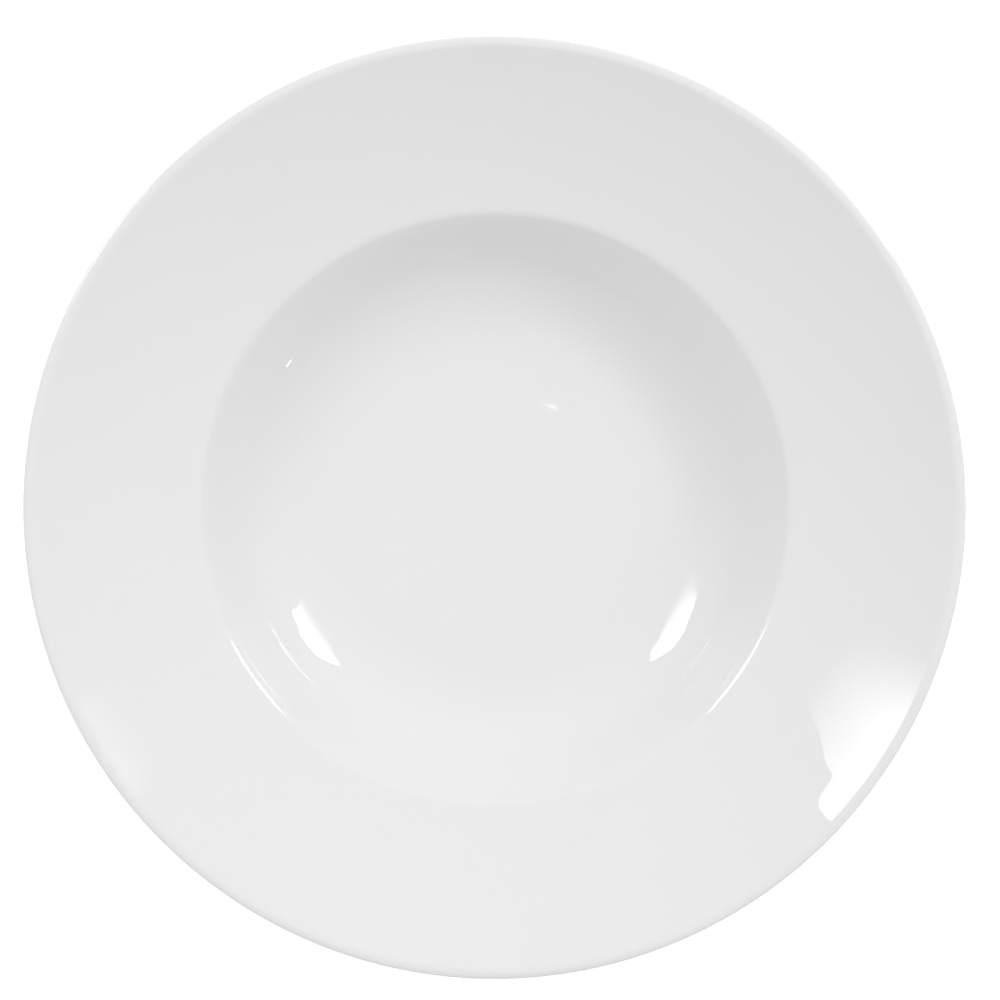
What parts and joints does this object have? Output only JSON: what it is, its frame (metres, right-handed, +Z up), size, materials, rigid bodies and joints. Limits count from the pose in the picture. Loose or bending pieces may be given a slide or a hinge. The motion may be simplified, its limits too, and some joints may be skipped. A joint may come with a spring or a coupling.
{
  "type": "pasta plate",
  "caption": "Round white porcelain pasta plate with a deep coved well, a broad rising rim, a rounded lip and a foot ring with a bare standing edge.",
  "frame": {"origin": "centre of the foot ring in the plane that the plate stands on", "axes": "+Z up along the plate's axis of turning, out of the well"},
  "size_m": [0.3, 0.3, 0.0537],
  "materials": {
    "fired_porcelain": "unglazed, polished standing edge",
    "clear_glaze": "gloss glaze on white porcelain"
  },
  "bodies": {
    "root": {"porcelain_body": "fired_porcelain", "outer_glaze": "clear_glaze", "recess_glaze": "clear_glaze"}
  },
  "joints": []
}
